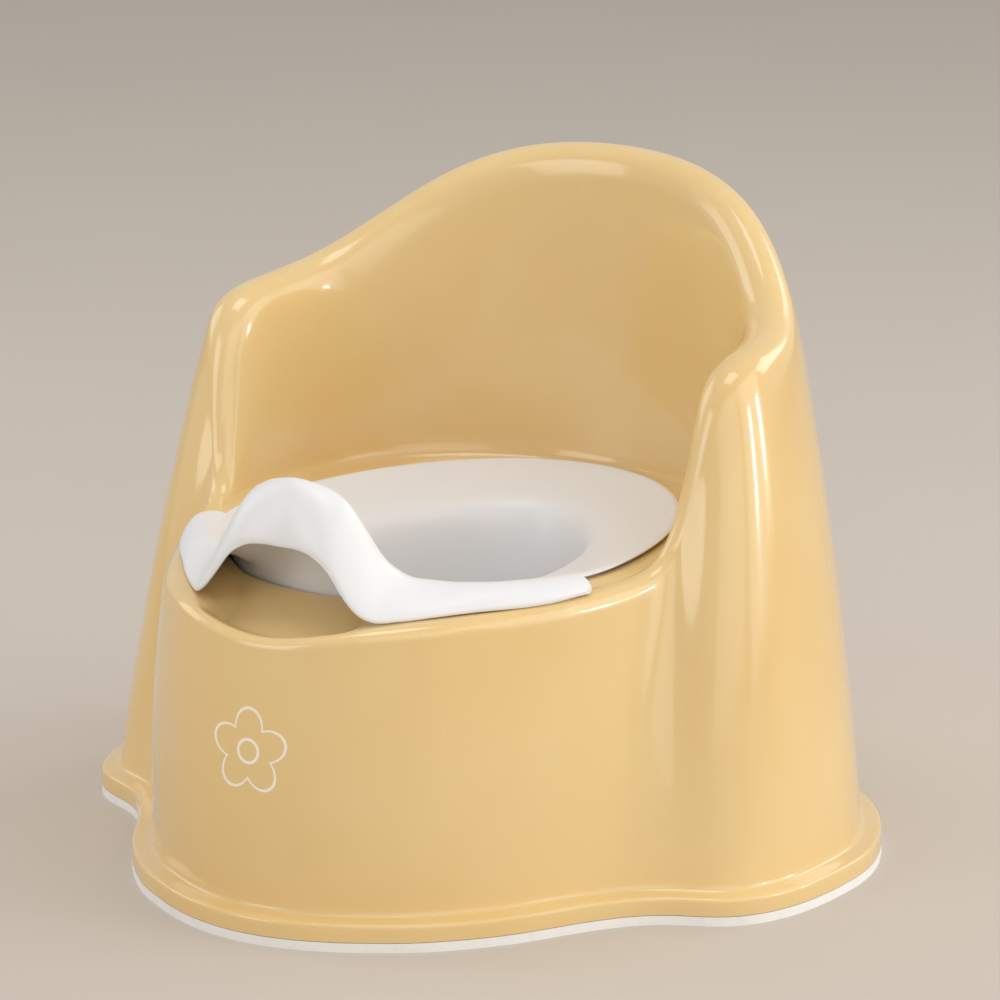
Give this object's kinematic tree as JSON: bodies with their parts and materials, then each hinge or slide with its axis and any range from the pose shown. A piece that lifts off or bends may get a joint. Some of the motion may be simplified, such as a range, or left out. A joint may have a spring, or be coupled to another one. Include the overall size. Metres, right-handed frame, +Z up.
{
  "type": "potty chair",
  "caption": "Potty training chair: armchair-shaped plastic shell with a lift-out inner potty, splash guard, finger gap and anti-slip foot strip.",
  "frame": {"origin": "centre of the footprint, on the floor", "axes": "+Z up, front of the chair towards -Y, the user's left hand towards +X when seated facing -Y"},
  "size_m": [0.3792, 0.342, 0.2975],
  "materials": {
    "yellow_shell": "polished pale yellow moulding",
    "white_potty": "satin white moulding",
    "white_strip": "matt warm white soft rubber"
  },
  "bodies": {
    "shell": {"shell": "yellow_shell", "anti_slip_strip": "white_strip"},
    "potty": {"inner_potty": "white_potty"}
  },
  "joints": [
    {"name": "potty_lift", "type": "slide", "parent": "shell", "child": "potty", "axis": [0, 0, 1], "range_m": [0, 0.26]}
  ]
}
